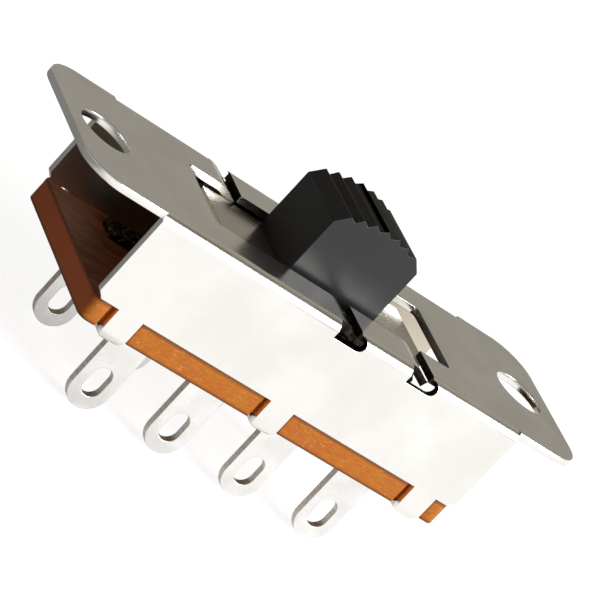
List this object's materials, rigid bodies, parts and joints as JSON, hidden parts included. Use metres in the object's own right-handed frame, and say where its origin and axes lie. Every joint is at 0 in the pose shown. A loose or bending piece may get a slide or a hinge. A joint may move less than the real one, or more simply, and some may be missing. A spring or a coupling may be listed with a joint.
{
  "type": "slide switch",
  "caption": "Panel-mount slide switch with a ridged thumb slider in a slotted metal frame, two mounting ears and two rows of eyelet solder lugs under an insulating board.",
  "frame": {"origin": "midway between the two mounting holes, on the panel face of the frame plate", "axes": "+X along the slider's travel and the line of the mounting holes, +Y across the travel to the rear row of lugs, +Z out of the panel face towards the thumb piece"},
  "size_m": [0.0334, 0.0106, 0.0153],
  "materials": {
    "plated_steel": "bright plated, smooth",
    "phenolic": "punched paper laminate, brown-orange, satin",
    "silvered_brass": "silver plated, bright",
    "black_nylon": "moulded, satin black",
    "leaf_steel": "bright plated spring strip",
    "contact_bronze": "rolled phosphor bronze",
    "spring_wire": "drawn spring wire"
  },
  "bodies": {
    "housing": {"frame": "plated_steel", "terminal_board": "phenolic", "terminal_front_1": "silvered_brass", "terminal_front_2": "silvered_brass", "terminal_front_3": "silvered_brass", "terminal_front_4": "silvered_brass", "terminal_rear_1": "silvered_brass", "terminal_rear_2": "silvered_brass", "terminal_rear_3": "silvered_brass", "terminal_rear_4": "silvered_brass"},
    "slider_assembly": {"slider": "black_nylon", "spring_leaf": "leaf_steel", "bridge_front": "contact_bronze", "bridge_rear": "contact_bronze", "contact_spring_front": "spring_wire", "contact_spring_rear": "spring_wire"}
  },
  "joints": [
    {"name": "slider_travel", "type": "slide", "parent": "housing", "child": "slider_assembly", "axis": [1, 0, 0], "range_m": [-0.00508, 0.00508]}
  ]
}
